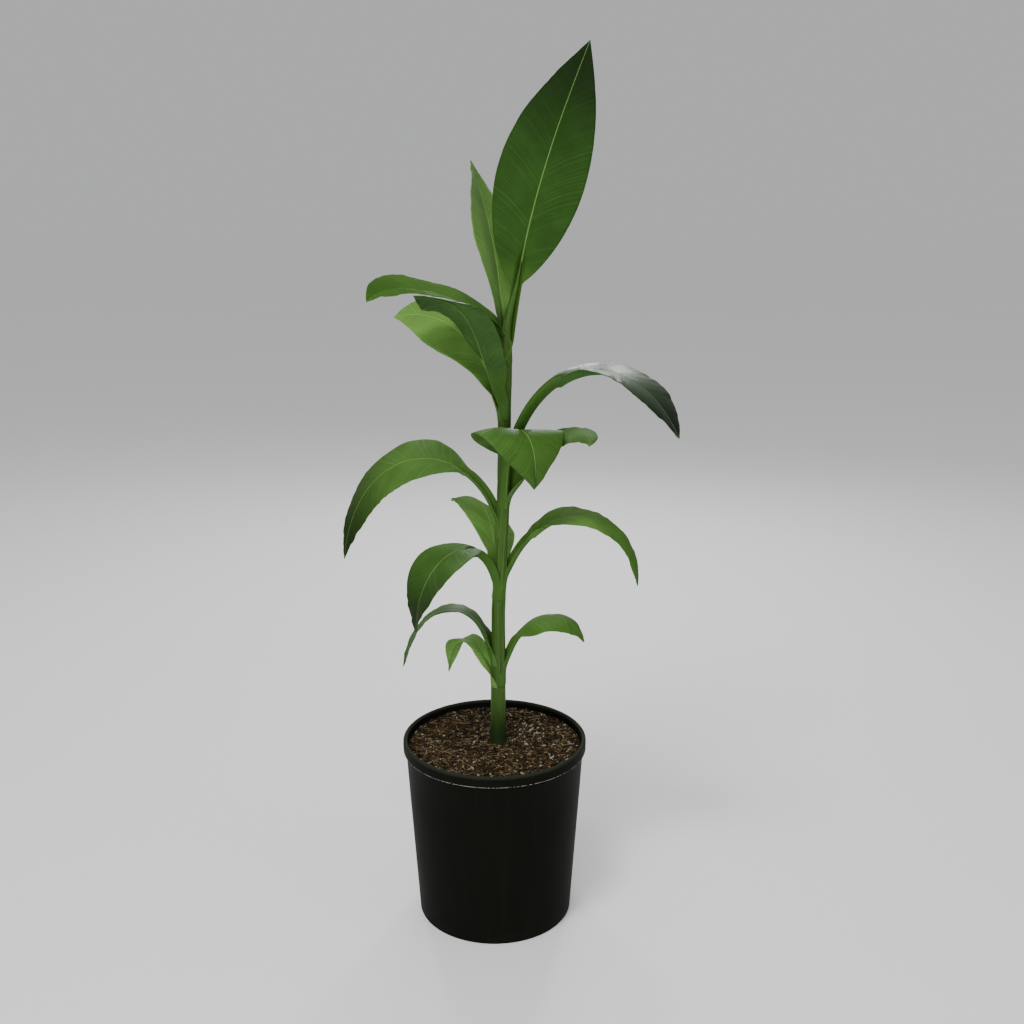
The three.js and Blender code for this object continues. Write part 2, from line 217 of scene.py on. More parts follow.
class PotSettings(bpy.types.PropertyGroup):
    """Sizes and colour of the nursery pot."""

    height: length_setting("Height", 286, "From the floor to the top of the lip")
    rim_radius: length_setting("Rim Radius", 140, "Outside of the band and the lip")
    lip_width: length_setting("Lip Width", 7, "Thickness of the rounded lip")
    band_height: length_setting("Band Height", 16.5, "The flat band under the lip")
    band_step: length_setting("Band Step", 4, "How far the band stands out from the wall")
    base_radius: length_setting("Base Radius", 118.5, "Outside of the foot")
    foot_radius: length_setting("Foot Rounding", 2, "Rounding where the wall meets the floor")
    floor: length_setting("Floor Thickness", 3, "Thickness of the bottom")
    floor_radius: length_setting("Inside Floor Radius", 115, "Inside of the wall at the bottom")
    drain_radius: length_setting("Drain Radius", 7, "Each drain hole's radius")
    drain_circle: length_setting("Drain Circle", 92, "How far out the drain holes are")
    drains: IntProperty(name="Drains", description="Number of drain holes", default=8, min=3)
    plastic: colour_setting("Plastic", (0.004, 0.0045, 0.003), "Black moulded plastic")
    # Tint of the dust on the lip and the foot, and of the painted highlight on the lip's top.
    bloom: colour_setting("Bloom", (0.021, 0.024, 0.0155), "Dust and wear along the lip")
    # Colour of a painted highlight: a dashed pale line along the band's lower edge.
    worn: colour_setting("Worn Line", (0.5, 0.5, 0.42), "Rubbed lower edge of the band")


class SoilSettings(bpy.types.PropertyGroup):
    """Sizes and colours of the potting mix."""

    level: length_setting("Level", 277, "Height of the mix at its middle")
    dip: length_setting("Dip", 1.5, "How much lower it lies at the wall")
    bump: length_setting("Bump", 1.6, "How far its surface rises and falls")
    chips: IntProperty(name="Chips", description="Bark chips that lie on top", default=8600, min=0)
    fibres: IntProperty(name="Fibres", description="Thin fibres on top", default=520, min=0)
    grains: IntProperty(name="Grains", description="Pale mineral grains", default=130, min=0)
    seed: IntProperty(name="Seed", description="Changes how everything lies", default=7)
    earth: colour_setting("Earth", (0.0125, 0.0085, 0.0038), "The fine mix between the chips")


class StemSettings(bpy.types.PropertyGroup):
    """Finish of the stem of wrapped leaf sheaths."""

    step: length_setting("Sheath Step", 0.45, "How far a sheath's edge stands out")
    drop: length_setting("Sheath Wrap", 330, "How far down a sheath takes to close round the stem")
    shoot: length_setting("Shoot", 105, "How far the furled shoot stands above the stem")
    ribs: length_setting("Rib Depth", 0.12, "Fine ridges along the stem")
    green: colour_setting("Green", (0.035, 0.082, 0.0115), "Sheaths in the middle of the stem")
    # The foot's deeper green is partly the stem's own colour and partly painted shade near the
    # soil.
    foot: colour_setting("Foot", (0.0068, 0.0175, 0.0026), "The lowest part, near the soil")
    edge: colour_setting("Edge", (0.15, 0.26, 0.05), "Pale edges of the sheaths")


class FoliageSettings(bpy.types.PropertyGroup):
    """Shape and colours that all the leaves share."""

    vein_gap: length_setting("Vein Gap", 6.0, "Distance between two side veins")
    vein_depth: length_setting("Vein Depth", 0.13, "Height of the ridges along the side veins")
    flutter: length_setting("Flutter", 1.3, "How far the margins wave up and down")
    blade: length_setting("Blade Thickness", 0.7, "Thickness of the blade between the veins")
    row: length_setting("Row Gap", 1.15, "Distance between rows of faces along the blade")
    seed: IntProperty(name="Seed", description="Changes the veins and the margins", default=21)
    upper: colour_setting("Upper Side", (0.049, 0.12, 0.017), "Upper side of a blade")
    deep: colour_setting("Deep Green", (0.013, 0.043, 0.0065), "Upper side of the darkest blade")
    fresh: colour_setting("Fresh Green", (0.125, 0.262, 0.052), "Upper side of the palest blade")
    # The under side's paler green is partly painted light shining through the blade.
    under: colour_setting("Under Side", (0.075, 0.165, 0.04), "Duller under side")
    midrib: colour_setting("Midrib", (0.24, 0.4, 0.11), "Pale line of the midrib")
    stalk: colour_setting("Stalk", (0.04, 0.093, 0.0135), "Leaf stalks")


class LeafShape(bpy.types.PropertyGroup):
    """One leaf's own shape, by the same rule as its solid."""

    name: StringProperty(name="Name", description="The leaf's node", default="leaf")
    height: length_setting("Height", 600, "Where the midrib leaves the stem")
    heading: angle_setting("Heading", 0, "From above: 0 to the right, 90 to the back")
    length: length_setting("Length", 260, "Stalk and blade together", min=20 * MM)
    stalk: length_setting("Stalk", 45, "Length of the stalk")
    stalk_width: length_setting("Stalk Width", 11, "Width of the stalk")
    width: length_setting("Width", 100, "Widest part of the blade")
    rise: angle_setting("Rise", (75, -60), "Slope of the midrib at the start and the end")
    bend: number_setting("Bend", (0.5, 0.25), "Its middle and its spread, as shares")
    sweep: angle_setting("Sweep", 0, "Turn of the heading by the tip")
    roll: angle_setting("Roll", (0, 0), "Turn about the midrib at the start and the end")
    fold: angle_setting("Fold", (0, 0), "Lift of the two halves at the start and the end")
    widest: number_setting("Widest", 0.4, "Where the blade is widest, as a share")
    fullness: number_setting("Fullness", 0.8, "How soon the blade widens")
    sheath: length_setting("Sheath", 30, "How far the foot of the stalk hugs the stem")
    base: length_setting("Base", (0, 0), "How much further down each half starts")
    turn: angle_setting("Turn", 0, "More roll at the base")
    cup: angle_setting("Cup", (0, 0), "More lift of each half at the base")
    camber: length_setting("Camber", (1, 1), "Bulge of the two halves")
    tone: number_setting("Tone", 0, "-1 for the deepest green, 1 for a fresh one")
    gloss: number_setting("Gloss", 0.2, "How shiny the upper side is", min=0, max=1)
    # Shade is painted shade on the hanging end: a deeper green towards the tip.
    shade: number_setting("Shade", 0.2, "Deeper green towards the tip", min=0, max=1)


class StageSettings(bpy.types.PropertyGroup):
    """Floor, light and camera."""

    floor: colour_setting("Floor", (0.8, 0.8, 0.8), "Plain pale floor")
    ambient: FloatProperty(name="Ambient", description="Strength of the even light", default=0.5)
    camera: FloatVectorProperty(
        name="Camera", description="Where the camera stands", size=3, subtype="TRANSLATION",
        default=(0.0267, -1.7457, 1.1092),
    )
    pitch: angle_setting("Pitch", 15, "How far the camera looks down")
    view_angle: angle_setting("View Angle", 45, "What the camera takes in")


LEAF_FIELDS = tuple(key for key in LeafShape.__annotations__ if key != "name")
LEAF_LENGTHS = ("height", "length", "stalk", "stalk_width", "width", "sheath", "base", "camber")
LEAF_ANGLES = ("heading", "rise", "sweep", "roll", "fold", "turn", "cup")


def leaf_unit(field):
    """The rule's millimetre or degree, in the units of the settings."""
    if field in LEAF_LENGTHS:
        return MM
    return DEGREE if field in LEAF_ANGLES else 1.0


def tidy_number(value, unit):
    """A setting or a pair in the rule's units, without the stray digits of short floats."""
    if isinstance(value, float):
        return round(value / unit, 4)
    return tuple(round(v / unit, 4) for v in value)


class LeafNumbers:
    """A leaf's settings as the rule takes them, in millimetres and degrees."""

    def __init__(self, shape):
        self.name = shape.name
        for field in LEAF_FIELDS:
            setattr(self, field, tidy_number(getattr(shape, field), leaf_unit(field)))


class Wire:
    """A value in a material. Python's arithmetic on it adds the Math nodes."""

    def __init__(self, finish, socket):
        self.finish = finish
        self.socket = socket

    def math(self, operation, *others):
        values = dict(enumerate((self, *others)))
        return self.finish.add("ShaderNodeMath", {"operation": operation}, values)

    def __add__(self, other):
        return self.math("ADD", other)

    __radd__ = __add__

    def __sub__(self, other):
        return self.math("SUBTRACT", other)

    def __rsub__(self, other):
        return self * -1.0 + other

    def __mul__(self, other):
        return self.math("MULTIPLY", other)

    __rmul__ = __mul__

    def between(self, low, high):
        """0 below low, 1 above high and smooth in between."""
        settings = {"interpolation_type": "SMOOTHSTEP"}
        values = {"Value": self, "From Min": low, "From Max": high}
        return self.finish.add("ShaderNodeMapRange", settings, values)


class Finish:
    """A procedural material for one of the plant's surfaces."""

    def __init__(self, name, **uniform):
        self.material = bpy.data.materials.new(name)
        self.material.use_nodes = True
        self.tree = self.material.node_tree
        self.shader = self.tree.nodes["Principled BSDF"]
        for key, value in uniform.items():
            self.shader.inputs[key.replace("_", " ")].default_value = value
        self.place = self.add("ShaderNodeTexCoord", output="Object")

    def add(self, kind, settings=None, values=None, output=0):
        """A node of that kind: its settings come first, then its inputs. Gives one output."""
        node = self.tree.nodes.new(kind)
        for key, value in (settings or {}).items():
            setattr(node, key, value)
        for key, value in (values or {}).items():
            self.feed(node.inputs[key], value)
        return Wire(self, node.outputs[output])

    def feed(self, socket, value):
        if isinstance(value, Wire):
            self.tree.links.new(value.socket, socket)
        elif isinstance(value, (tuple, list)) and len(value) == 3 and socket.type == "RGBA":
            socket.default_value = (*value, 1.0)
        else:
            socket.default_value = value

    def attribute(self, name):
        return self.add("ShaderNodeAttribute", {"attribute_name": name}, output="Fac")

    def height(self):
        """Height above the floor, in metres."""
        return self.add("ShaderNodeSeparateXYZ", {}, {"Vector": self.place}, output="Z")

    def noise(self, scale, detail, roughness, stretch=None):
        """Noise from 0 to 1. scale counts its features per metre."""
        place = self.place
        if stretch:
            place = self.add("ShaderNodeMapping", {}, {"Vector": place, "Scale": stretch})
        values = {"Vector": place, "Scale": scale, "Detail": detail, "Roughness": roughness}
        return self.add("ShaderNodeTexNoise", {}, values)

    def mix(self, share, first, second):
        """A colour between two colours."""
        node = self.tree.nodes.new("ShaderNodeMix")
        node.data_type = "RGBA"
        sockets = {s.identifier: s for s in node.inputs}
        self.feed(sockets["Factor_Float"], share)
        self.feed(sockets["A_Color"], first)
        self.feed(sockets["B_Color"], second)
        outputs = {s.identifier: s for s in node.outputs}
        return Wire(self, outputs["Result_Color"])

    def bump(self, height, distance, strength):
        values = {"Height": height, "Distance": distance, "Strength": strength}
        return self.add("ShaderNodeBump", {}, values)

    def set(self, **sockets):
        for key, value in sockets.items():
            self.feed(self.shader.inputs[key.replace("_", " ")], value)
        return self.material


def scaled(colour, factor, more=0.0):
    """A deeper or paler colour, white at most."""
    return tuple(min(1.0, c * factor + more) for c in colour)


def mingled(first, first_share, second, second_share):
    return tuple(a * first_share + b * second_share for a, b in zip(first, second))


def plastic_finish(pot):
    """Satin black plastic with a faint grain and streaks of wear on the wall, a lip paler with
    dust and a painted highlight, and a painted highlight line along the band's lower edge.
    """
    finish = Finish("plastic", IOR=1.4, Specular_IOR_Level=0.04)
    height = finish.height()
    cloud = finish.noise(9, 5, 0.6)
    streak = finish.noise(60, 4, 0.6, (1, 1, 0.06))
    # The lip's top is paler: dust mixed with a painted highlight. The wall's streaks and the foot
    # get dust only.
    lip = height.between(pot.height - pot.lip_width * 0.75, pot.height - pot.lip_width * 0.1)
    dust_and_sheen = lip * (0.55 + 0.45 * cloud) + 0.1 * streak.between(0.45, 0.8)
    foot = 1.0 - height.between(0.0, 0.03)
    dust_and_sheen = dust_and_sheen + foot * cloud.between(0.4, 0.75) * 0.25
    # A dashed painted highlight along the band's lower edge, where the bevel catches the light.
    edge = pot.height - pot.band_height
    worn = height.between(edge - 0.8 * MM, edge - 0.2 * MM)
    worn = worn - height.between(edge + 0.3 * MM, edge + 1.0 * MM)
    glint_dashes = finish.noise(320, 3, 0.6)
    colour = finish.mix(dust_and_sheen.math("MINIMUM", 1.0), pot.plastic[:], pot.bloom[:])
    colour = finish.mix(worn * glint_dashes.between(0.4, 0.55), colour, pot.worn[:])
    grain = finish.noise(1400, 2, 0.5)
    roughness = 0.46 + 0.1 * cloud + 0.08 * streak + 0.1 * dust_and_sheen
    return finish.set(
        Base_Color=colour, Roughness=roughness, Normal=finish.bump(grain, 0.00008, 0.6)
    )


def earth_finish(soil):
    """Dark crumbly mix."""
    finish = Finish("earth", Roughness=0.95, Specular_IOR_Level=0.08)
    crumb = finish.noise(420, 6, 0.7)
    patch = finish.noise(60, 3, 0.5)
    dark = finish.mix(crumb.between(0.35, 0.7), scaled(soil.earth, 0.35), soil.earth[:])
    colour = finish.mix(patch.between(0.4, 0.7) * 0.5, dark, scaled(soil.earth, 2.2))
    return finish.set(Base_Color=colour, Normal=finish.bump(crumb, 0.0012, 0.8))


def chip_finish(name, colour):
    """Bark of one colour, with its grain."""
    finish = Finish(name, Roughness=0.85, Specular_IOR_Level=0.12)
    grain = finish.noise(900, 4, 0.6)
    patch = finish.noise(170, 3, 0.5)
    shade = finish.mix(grain.between(0.3, 0.7), scaled(colour, 0.45), colour)
    shade = finish.mix(patch.between(0.45, 0.75) * 0.6, shade, scaled(colour, 0.6))
    return finish.set(Base_Color=shade, Normal=finish.bump(grain, 0.0004, 0.7))


def stem_finish(stem):
    """Satin sheaths with pale dry edges and fine streaks, painted shade beside each sheath's edge,
    and a deep green at the soil that is partly painted shade.
    """
    finish = Finish("sheaths", IOR=1.42, Specular_IOR_Level=0.17)
    height = finish.height()
    streak = finish.noise(420, 4, 0.6, (1, 1, 0.035))
    mottle = finish.noise(85, 5, 0.62, (1, 1, 0.4))
    # The lowest part turns to the foot's colour: partly a deeper green, partly painted shade near
    # the soil.
    low = 1.0 - (height + 0.03 * mottle).between(0.3, 0.372)
    deep = scaled(stem.green, 0.68)
    pale = scaled(stem.green, 1.25, 0.006)
    colour = finish.mix(streak.between(0.25, 0.8), deep, pale)
    colour = finish.mix(0.35 + mottle.between(0.35, 0.75) * 0.4, colour, stem.green[:])
    # Painted shade beside each sheath's edge, read from the shade attribute.
    colour = finish.mix(finish.attribute("shade") * 0.75, colour, deep)
    colour = finish.mix(low * 0.93, colour, stem.foot[:])
    colour = finish.mix(finish.attribute("edge") * 0.4 * (1.0 - low), colour, stem.edge[:])
    roughness = 0.36 + 0.2 * mottle + 0.15 * low
    return finish.set(
        Base_Color=colour, Roughness=roughness, Normal=finish.bump(streak, 0.00025, 0.5)
    )


def leaf_tone(foliage, tone):
    """The leaf's green, from deep at -1 to fresh at 1. Some tones carry painted light, others
    painted shade.
    """
    other = foliage.fresh if tone > 0 else foliage.deep
    return tuple(blend(a, b, abs(tone)) for a, b in zip(foliage.upper, other))


def leaf_lines(foliage, base):
    """Colours of a leaf's stalk and midrib, tinted by its own green."""
    return mingled(foliage.stalk, 0.85, base, 0.15), mingled(foliage.midrib, 0.45, base, 0.8)


def blade_finish(name, foliage, tone, gloss, shade):
    """Glossy upper side: a pale midrib, and side veins that catch the light."""
    finish = Finish(name, IOR=1.45, Specular_IOR_Level=0.01 + 0.24 * gloss)
    base = leaf_tone(foliage, tone)
    rib = finish.attribute("rib")
    vein = finish.attribute("vein")
    stalk = finish.attribute("stalk")
    margin = finish.attribute("margin")
    cloud = finish.noise(22, 5, 0.6)
    fine = finish.noise(160, 4, 0.6)
    patch = finish.noise(48, 3, 0.5)
    vein = vein * (0.35 + patch)
    dark, light = scaled(base, 0.74), scaled(base, 1.42, 0.006)
    colour = finish.mix(cloud.between(0.3, 0.72), dark, base)
    colour = finish.mix((vein * 0.6).math("MAXIMUM", 0.0), colour, light)
    colour = finish.mix((vein * -0.5).math("MAXIMUM", 0.0), colour, dark)
    colour = finish.mix(fine.between(0.55, 0.8) * 0.22, colour, light)
    # A painted highlight: a paler rim along the margins.
    colour = finish.mix(margin.between(0.965, 1.0) * 0.3, colour, light)
    # Painted shade: the blade turns deeper green towards its hanging tip.
    if shade > 0.0:
        along = finish.attribute("along")
        colour = finish.mix(along.between(0.3, 0.92) * shade, colour, scaled(base, 0.14))
    own_stalk, own_midrib = leaf_lines(foliage, base)
    colour = finish.mix(stalk * 0.9, colour, own_stalk)
    colour = finish.mix(rib.between(0.1, 0.9) * (0.75 - 0.25 * stalk), colour, own_midrib)
    roughness = 0.58 - 0.32 * gloss**0.5 + 0.14 * cloud + 0.1 * fine
    return finish.set(
        Base_Color=colour, Roughness=roughness, Normal=finish.bump(fine, 0.0002, 0.35)
    )


def under_finish(name, foliage, tone):
    """Duller under side with a raised pale midrib. Its paler green is partly painted light shining
    through the blade.
    """
    finish = Finish(name, IOR=1.4, Specular_IOR_Level=0.08)
    base = mingled(foliage.under, 0.45, leaf_tone(foliage, tone), 0.6)
    rib = finish.attribute("rib")
    vein = finish.attribute("vein")
    stalk = finish.attribute("stalk")
    cloud = finish.noise(26, 5, 0.6)
    streak = finish.noise(500, 3, 0.6)
    dark, light = scaled(base, 0.66), scaled(base, 1.35, 0.012)
    own_stalk, own_midrib = leaf_lines(foliage, base)
    colour = finish.mix(cloud.between(0.3, 0.7), dark, base)
    colour = finish.mix((vein * 0.6).math("MAXIMUM", 0.0), colour, light)
    colour = finish.mix(stalk * 0.9, colour, own_stalk)
    colour = finish.mix(stalk * streak.between(0.5, 0.8) * 0.3, colour, light)
    colour = finish.mix(rib.between(0.1, 0.9) * (0.6 - 0.4 * stalk), colour, own_midrib)
    roughness = 0.42 + 0.16 * cloud
    return finish.set(
        Base_Color=colour, Roughness=roughness, Normal=finish.bump(streak, 0.00012, 0.4)
    )


def deselect_all():
    for thing in bpy.context.scene.objects:
        thing.select_set(False)


def make_piece(name, points, faces, finishes, replaced=(), smooth=True):
    """A finished mesh from arrays of points and faces. It rides on the plant's one body."""
    mesh = bpy.data.meshes.new(name)
    mesh.from_pydata(points, [], faces)
    mesh.validate()
    mesh.update()
    piece = bpy.data.objects.new(name, mesh)
    bpy.context.scene.collection.objects.link(piece)
    return settle_piece(piece, finishes, replaced, smooth)


def settle_piece(piece, finishes, replaced=(), smooth=True):
    for finish in finishes:
        piece.data.materials.append(finish)
    if smooth:
        piece.data.polygons.foreach_set("use_smooth", [True] * len(piece.data.polygons))
    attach(piece, BODY)
    if replaced:
        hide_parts(*replaced)
    return piece


def store(piece, name, values):
    """Keeps one number for each point of a piece, for its material."""
    attribute = piece.data.attributes.new(name, "FLOAT", "POINT")
    attribute.data.foreach_set("value", np.asarray(values, np.float32).ravel())


def tube_faces(rows, count):
    """Faces between rings of points, with both ends closed."""
    lower = np.arange(rows - 1)[:, None] * count
    column = np.arange(count)[None, :]
    after = (column + 1) % count
    quads = (lower + column, lower + after, lower + after + count, lower + column + count)
    faces = np.stack(quads, -1).reshape(-1, 4).tolist()
    faces.append(list(range(count))[::-1])
    faces.append(list(range((rows - 1) * count, rows * count)))
    return faces


def smooth_step(value, low, high):
    share = np.clip((value - low) / (high - low), 0.0, 1.0)
    return share * share * (3.0 - 2.0 * share)


def blend(first, second, share):
    return first + (second - first) * share


def rounded(place, power):
    """A hump: 1 at place 0 and 0 from place 1 on."""
    return np.clip(1.0 - place**2, 0.0, 1.0) ** power


def soft_noise(random, places, gap):
    """Smooth noise from -1 to 1 along a line, with a new value at each gap."""
    count = int(np.max(places) / gap) + 3
    knots = random.uniform(-1.0, 1.0, count)
    place = np.clip(places / gap, 0.0, count - 2.0)
    index = place.astype(int)
    return blend(knots[index], knots[index + 1], smooth_step(place - index, 0.0, 1.0))


def stem_middle(height):
    """The stem's middle at a height, in millimetres."""
    height = np.asarray(height, float)
    return np.stack((np.interp(height, *STEM_OFFSET), np.zeros_like(height), height), -1)


def stem_radius(height):
    return np.interp(height, *STEM_RADIUS)


class LeafRule:
    """The leaf's midrib, width and cross-section, by the rule that its solid follows."""

    # Half width at the tip, clearance: in millimetres. The others are counts and shares.
    path_steps = 720
    root_share = 0.7
    tip_half_width = 0.35
    wing_width = 0.56
    wing_rise = 0.62
    wing_end = 0.2
    turn_end = 0.16
    cup_end = 0.55
    wing_widen = 1.12
    tip_taper = 1.05
    stalk_fade = 0.3
    keel_depth = 0.75
    keel_half = 0.3
    keel_midrib = 0.35
    keel_shrink = 0.6
    edge_thickness = 0.0051
    clearance = 0.3
    search_end = 0.35
    search_step = 0.25 / 240

    def __init__(self, shape):
        self.shape = shape
        self.length = shape.length
        self.blade_start = shape.stalk / shape.length
        heading = math.radians(shape.heading)
        root = stem_middle(shape.height)
        out = stem_radius(shape.height) * self.root_share
        root = root + out * np.array((math.cos(heading), math.sin(heading), 0.0))
        middles = (np.arange(self.path_steps) + 0.5) / self.path_steps
        steps = self.forward(middles) * (self.length / self.path_steps)
        self.path = np.vstack((root, root + np.cumsum(steps, 0)))

    def bend_share(self, along):
        middle, spread = self.shape.bend

        def step(x):
            return 1.0 / (1.0 + np.exp((middle - x) / spread))

        return (step(along) - step(0.0)) / (step(1.0) - step(0.0))

    def heading(self, along):
        return np.radians(self.shape.heading + self.shape.sweep * along * along)

    def forward(self, along):
        rise = np.radians(blend(*self.shape.rise, self.bend_share(along)))
        heading = self.heading(along)
        flat = np.cos(rise)
        return np.stack((flat * np.cos(heading), flat * np.sin(heading), np.sin(rise)), -1)

    def share(self, along):
        """How far along the blade a place is."""
        return np.clip((along - self.blade_start) / (1.0 - self.blade_start), 0.0, 1.0)

    def side_share(self, along, side):
        """The same for one half, whose base may reach further down the stalk than the other."""
        lower = self.shape.base[0] if side > 0 else self.shape.base[1]
        start = max(self.shape.stalk - lower, 0.0) / self.length
        early = np.clip((along - start) / (1.0 - start), 0.0, 1.0)
        late = self.share(along)
        return blend(early, late, smooth_step(late, 0.0, self.shape.widest))

    def half_width(self, along, side=1):
        """Half width on the left where side is positive, otherwise on the right."""
        shape, share = self.shape, self.side_share(along, side)
        rising = np.sin(math.pi / 2 * np.minimum(share / shape.widest, 1.0)) ** shape.fullness
        falling = np.clip((share - shape.widest) / (1.0 - shape.widest), 0.0, 1.0)
        falling = np.cos(math.pi / 2 * falling**self.tip_taper)
        blade = np.where(share < shape.widest, rising, falling) * shape.width / 2
        stalk = shape.stalk_width / 2 * np.sqrt(np.clip((1.0 - share) / self.stalk_fade, 0.0, 1.0))
        stalk = stalk * blend(self.wing_widen, 1.0, smooth_step(share, 0.0, self.wing_end))
        return np.maximum((blade**4 + stalk**4) ** 0.25, self.tip_half_width)

    def keel(self, along):
        """Depth and half width of the keel under the stalk and the midrib."""
        shrink = np.clip(self.share(along) / self.keel_shrink, 0.0, 1.0)
        size = blend(1.0, self.keel_midrib, shrink) * self.shape.stalk_width
        depth = np.minimum(self.keel_depth * size, 0.9 * self.half_width(along))
        return depth, self.keel_half * size

    def axes(self, along):
        """Middle of the leaf, its direction across and its direction up, for places along it."""
        place = np.clip(along, 0.0, 1.0) * self.path_steps
        index = np.minimum(place.astype(int), self.path_steps - 1)
        rest = (place - index)[..., None]
        middle = self.path[index] * (1.0 - rest) + self.path[index + 1] * rest
        forward = self.forward(along)
        heading = self.heading(along)
        level = np.stack((-np.sin(heading), np.cos(heading), np.zeros_like(heading)), -1)
        upright = np.cross(forward, level)
        share = self.share(along)
        roll = blend(*self.shape.roll, share)
        roll = roll + self.shape.turn * (1.0 - smooth_step(share, 0.0, self.turn_end))
        roll = np.radians(roll)[..., None]
        across = level * np.cos(roll) + upright * np.sin(roll)
        up = upright * np.cos(roll) - level * np.sin(roll)
        return middle, across, up

    def point(self, along, side, lift):
        """The point that lies side millimetres across from the midrib and lift above the blade."""
        middle, across, up = self.axes(along)
        share = self.share(along)
        fold = blend(*self.shape.fold, share)
        cup = np.where(side > 0, *self.shape.cup)
        fold = np.radians(fold + cup * (1.0 - smooth_step(share, 0.0, self.cup_end)))
        crease = np.sqrt(side * side + 4.0) - 2.0
        rise = (crease * np.sin(fold) + lift)[..., None]
        return middle + across * (side * np.cos(fold))[..., None] + up * rise

    def wing(self, side):
        """How far the sides of the stalk's channel stand up at the base of the leaf."""
        return np.minimum(side, self.shape.stalk_width * self.wing_width) * self.wing_rise

    def first_clear(self):
        """The place next to the stem where the stalk is clear of it."""
        places = np.arange(0.0, self.search_end, self.search_step)
        half = self.half_width(places)
        depth, keel_half = self.keel(places)
        edge = np.full(places.shape, self.length * self.edge_thickness)
        wing = self.wing(half) + edge
        corners = ((-half, wing), (half, wing), (0 * half, edge))
        corners += ((-keel_half, -depth), (keel_half, -depth))
        clear = np.full(places.shape, np.inf)
        for side, lift in corners:
            point = self.point(places, side, lift)
            middle = stem_middle(point[:, 2])
            away = np.hypot(*(point - middle)[:, :2].T) - stem_radius(point[:, 2])
            above = point[:, 2] - STEM_OFFSET[0][-1]
            clear = np.minimum(clear, np.where(above > self.clearance, above, away))
        blocked = np.nonzero(clear < self.clearance)[0]
        return places[blocked[-1] + 1] if len(blocked) else 0.0


def midrib_line(shape):
    """Half width of the midrib at the base of the blade, in millimetres."""
    return 0.4 + 0.009 * shape.width


def rib_width(rule, along):
    """Half width of the stalk's channel, and of the midrib that it narrows to."""
    share = rule.share(along)
    midrib = midrib_line(rule.shape) * (1.0 - 0.6 * share)
    return blend(rule.shape.stalk_width * 0.5, midrib, smooth_step(share, -0.02, 0.16))


def leaf_columns(rule, along, columns):
    """Shares across the blade, closer together at the midrib. One row for each place along."""
    knot = 0.3  # the share of the columns that the midrib and its edges take
    step = np.linspace(-1.0, 1.0, columns)[None, :]
    size = np.abs(step)
    half = two_sided(rule, along[:, None], step)
    rib = np.minimum(rib_width(rule, along)[:, None] * 1.6, half * 0.55)
    inner = rib * size / knot
    outer = rib + (half - rib) * (size - knot) / (1.0 - knot)
    return np.sign(step) * np.where(size < knot, inner, outer) / half


def two_sided(rule, along, sign):
    """Half width on the side that the sign gives."""
    return np.where(sign > 0, rule.half_width(along, 1), rule.half_width(along, -1))


def leaf_rows(rule, foliage, start):
    """Places along the midrib where a row of faces starts, close together on the blade."""
    length = rule.length
    stalk_gap = 3.0
    stalk_end = max(rule.blade_start, start + 0.001)
    stalk_rows = max(4, int((stalk_end - start) * length / stalk_gap))
    blade_rows = int((1.0 - stalk_end) * length / (foliage.row / MM))
    stalk = np.linspace(start, stalk_end, stalk_rows, endpoint=False)
    return np.concatenate((stalk, np.linspace(stalk_end, 1.0, blade_rows + 1)))


